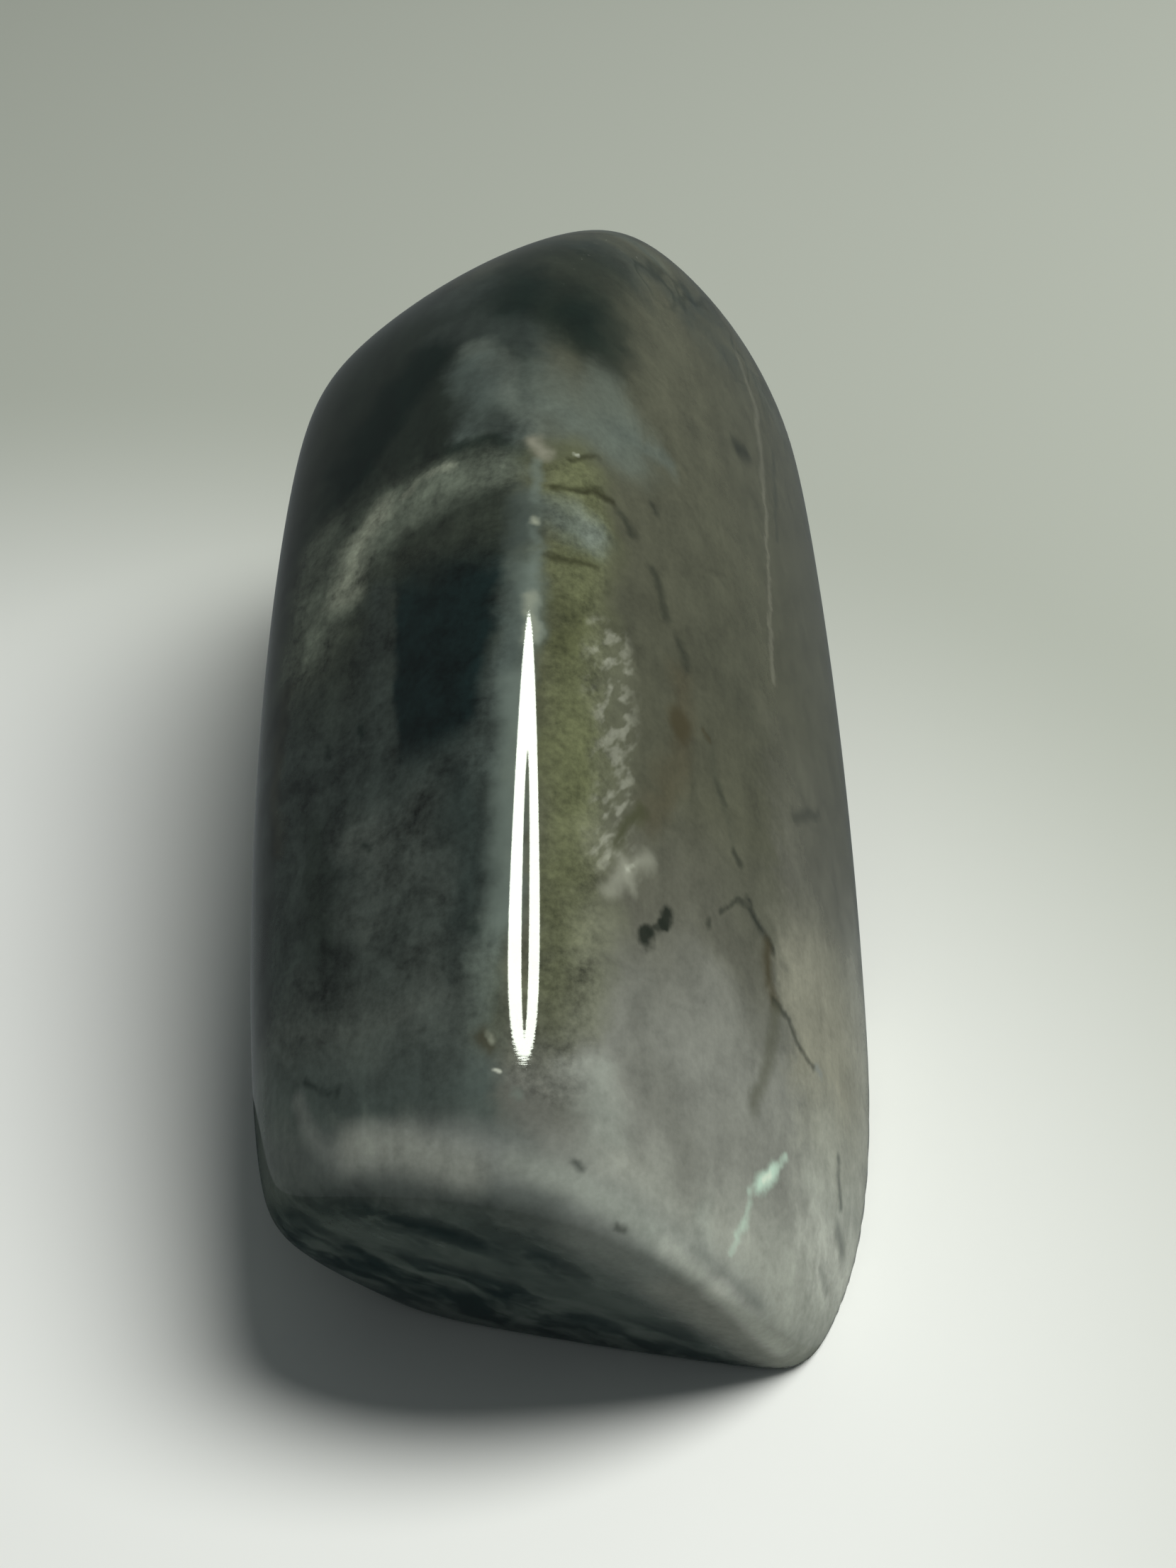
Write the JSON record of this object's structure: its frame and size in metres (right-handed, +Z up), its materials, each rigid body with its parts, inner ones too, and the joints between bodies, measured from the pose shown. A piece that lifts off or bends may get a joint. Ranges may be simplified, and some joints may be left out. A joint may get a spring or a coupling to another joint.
{
  "type": "labradorite freeform",
  "caption": "Polished freeform of dark labradorite with soft facets, a sawn base and a flat face that it lies on.",
  "frame": {"origin": "on the ground, under the middle of the stone's box", "axes": "+Z up from the flat face that the stone lies on, +Y along the long axis from the sawn base to the rounded tip"},
  "size_m": [0.053, 0.1084, 0.0515],
  "materials": {
    "polished_labradorite": "polished feldspar, dark grey-green with pale and bluish patches"
  },
  "bodies": {
    "root": {"labradorite_stone": "polished_labradorite"}
  },
  "joints": []
}
